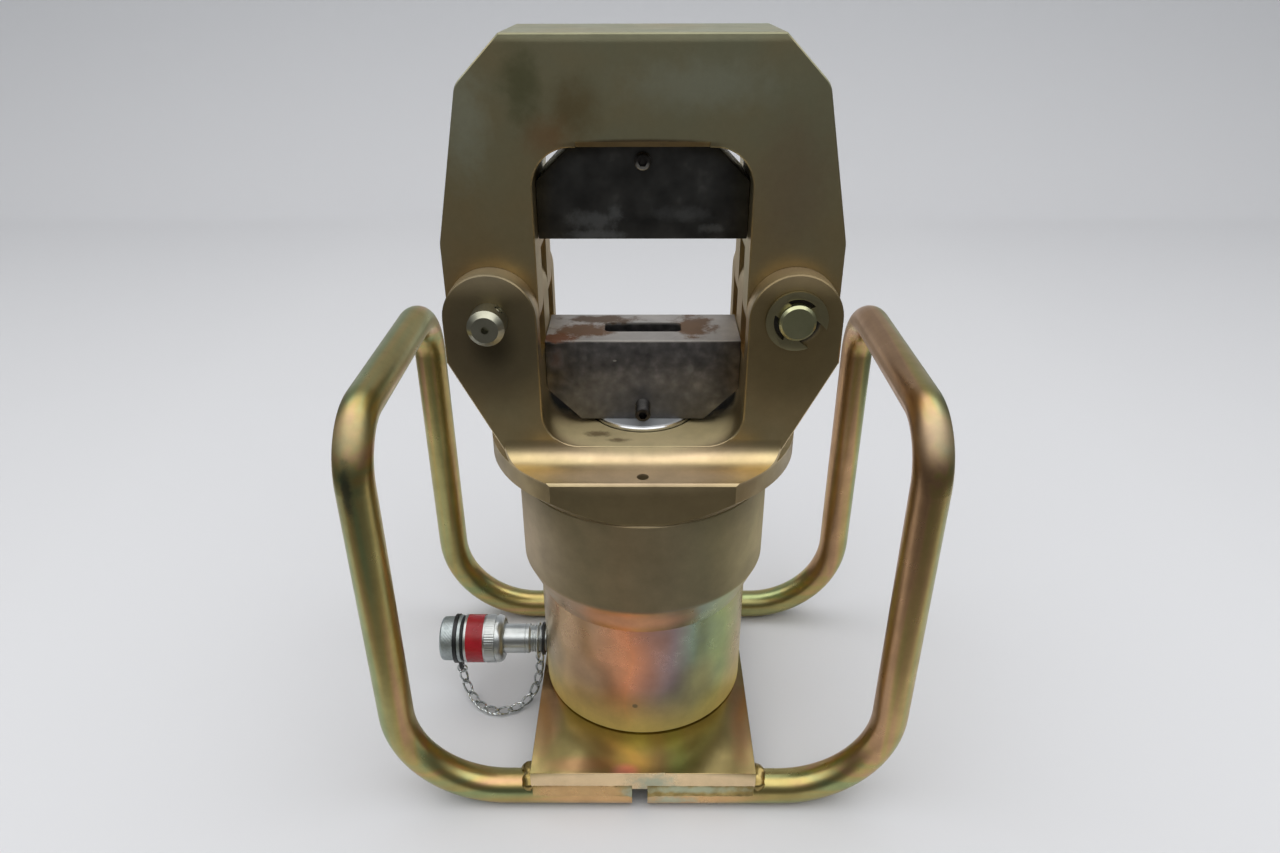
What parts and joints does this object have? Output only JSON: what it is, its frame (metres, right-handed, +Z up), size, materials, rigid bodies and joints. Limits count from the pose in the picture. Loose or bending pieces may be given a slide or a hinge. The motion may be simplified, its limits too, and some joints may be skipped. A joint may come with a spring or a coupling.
{
  "type": "hydraulic crimping head",
  "caption": "Bench-standing hydraulic crimping head: ram cylinder on a plate with tube handles, U-frame and pinned yoke over a pair of die blocks, hose coupler with chained dust cap.",
  "frame": {"origin": "on the table under the middle of the cylinder", "axes": "+Z up along the ram, +X to the right with the coupler on the left at -X, +Y to the back"},
  "size_m": [0.29, 0.1838, 0.4044],
  "materials": {
    "zinc_yellow": "yellow zinc chromate plating, iridescent",
    "weld_metal": "plated weld bead",
    "black_oxide": "black oxide",
    "hard_chrome": "polished hard chrome",
    "seal_rubber": "moulded rubber",
    "backup_plastic": "turned plastic",
    "spring_steel": "drawn spring wire",
    "bronze": "turned bronze",
    "zinc_bright": "bright zinc plating",
    "dark_steel": "ground tool steel, worn dark",
    "band_red": "red sleeve",
    "black_plastic": "moulded plastic"
  },
  "bodies": {
    "frame": {"base_plate": "zinc_yellow", "left_handle": "zinc_yellow", "right_handle": "zinc_yellow", "cylinder_body": "zinc_yellow", "head_frame": "zinc_yellow", "yoke": "zinc_yellow", "handle_welds": "weld_metal", "base_screws": "black_oxide", "frame_lock_screw": "black_oxide", "upper_die_screw": "black_oxide", "ram_wiper": "seal_rubber", "port_seal": "seal_rubber", "return_spring": "spring_steel", "poppet_spring": "spring_steel", "ram_guide_bush": "bronze", "hinge_pin": "zinc_bright", "hinge_pin_rings": "zinc_bright", "coupler_nipple": "zinc_bright", "coupler_body": "zinc_bright", "coupler_snap_ring": "zinc_bright", "chain_split_ring": "zinc_bright", "chain_anchor_ring": "zinc_bright", "cap_chain": "zinc_bright", "upper_die": "dark_steel", "upper_die_stud": "dark_steel", "cap_ring": "black_plastic"},
    "ram": {"ram": "hard_chrome", "piston_seal": "seal_rubber", "piston_backup_ring": "backup_plastic", "piston_wear_ring": "backup_plastic", "lower_die": "dark_steel", "lower_die_stud": "dark_steel", "lower_die_screw": "black_oxide"},
    "latch_pin": {"latch_pin": "zinc_bright", "latch_detent_ball": "zinc_bright", "latch_detent_spring": "spring_steel"},
    "collar": {"coupler_collar": "zinc_bright", "collar_band": "band_red"},
    "cap": {"dust_cap": "zinc_bright", "cap_gasket": "seal_rubber"},
    "poppet": {"coupler_poppet": "zinc_bright"}
  },
  "joints": [
    {"name": "ram_stroke", "type": "slide", "parent": "frame", "child": "ram", "axis": [0, 0, 1], "range_m": [0, 0.052], "stiffness_N_per_m": 5000, "springref_m": -0.02, "deforming": ["return_spring"]},
    {"name": "latch_pull", "type": "slide", "parent": "frame", "child": "latch_pin", "axis": [0, 1, 0], "range_m": [0, 0.103]},
    {"name": "collar_turn", "type": "hinge", "parent": "frame", "child": "collar", "pos_m": [-0.1, 0, 0.0478], "axis": [1, 0, 0], "continuous": true},
    {"name": "cap_turn", "type": "hinge", "parent": "frame", "child": "cap", "pos_m": [-0.12, 0, 0.0478], "axis": [1, 0, 0], "continuous": true},
    {"name": "poppet_push", "type": "slide", "parent": "frame", "child": "poppet", "axis": [1, 0, 0], "range_m": [0, 0.004], "stiffness_N_per_m": 2000, "springref_m": -0.002, "deforming": ["poppet_spring"]}
  ]
}
